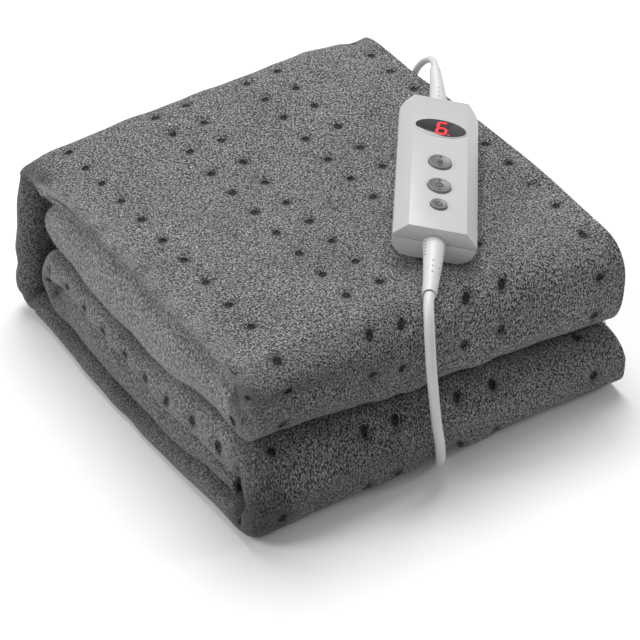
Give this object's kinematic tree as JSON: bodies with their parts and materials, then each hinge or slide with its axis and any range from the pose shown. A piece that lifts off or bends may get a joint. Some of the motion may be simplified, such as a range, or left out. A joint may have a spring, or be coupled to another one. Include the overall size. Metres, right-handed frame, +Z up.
{
  "type": "electric heated blanket, folded, with its inline controller",
  "caption": "Folded plush electric blanket with an inline push-button controller lying on top and its cords.",
  "frame": {"origin": "bottom centre of the folded pack, on the surface that it lies on", "axes": "+Z up, -Y the front with the two rolled folds, +Y the spine, -X the side with the folded edges, +X the side with the hems"},
  "size_m": [0.318, 0.387, 0.138],
  "materials": {
    "grey_plush": "short-pile plush",
    "white_plastic": "satin",
    "grey_button": "satin",
    "dark_window": "polished",
    "white_sleeve": "satin",
    "pin_metal": "bright"
  },
  "bodies": {
    "pack": {"blanket": "grey_plush", "controller_back": "white_plastic", "controller_front": "white_plastic", "display_window": "dark_window", "relief_blanket_side": "white_sleeve", "relief_mains_side": "white_sleeve", "lead_entry": "white_sleeve", "short_lead": "white_sleeve", "mains_lead": "white_sleeve", "mains_lead_coil": "white_sleeve", "mains_lead_tail": "white_sleeve", "plug_body": "white_sleeve", "plug_pin_left": "pin_metal", "plug_pin_right": "pin_metal"},
    "heat_button": {"button_heat": "grey_button"},
    "timer_button": {"button_timer": "grey_button"},
    "power_button": {"button_power": "grey_button"}
  },
  "joints": [
    {"name": "heat_press", "type": "slide", "parent": "pack", "child": "heat_button", "axis": [-0.1396, 0.1033, -0.9848], "range_m": [0, 0.0008], "stiffness_N_per_m": 400, "springref_m": -0.0003},
    {"name": "timer_press", "type": "slide", "parent": "pack", "child": "timer_button", "axis": [-0.1396, 0.1033, -0.9848], "range_m": [0, 0.0008], "stiffness_N_per_m": 400, "springref_m": -0.0003},
    {"name": "power_press", "type": "slide", "parent": "pack", "child": "power_button", "axis": [-0.1396, 0.1033, -0.9848], "range_m": [0, 0.0008], "stiffness_N_per_m": 400, "springref_m": -0.0003}
  ]
}
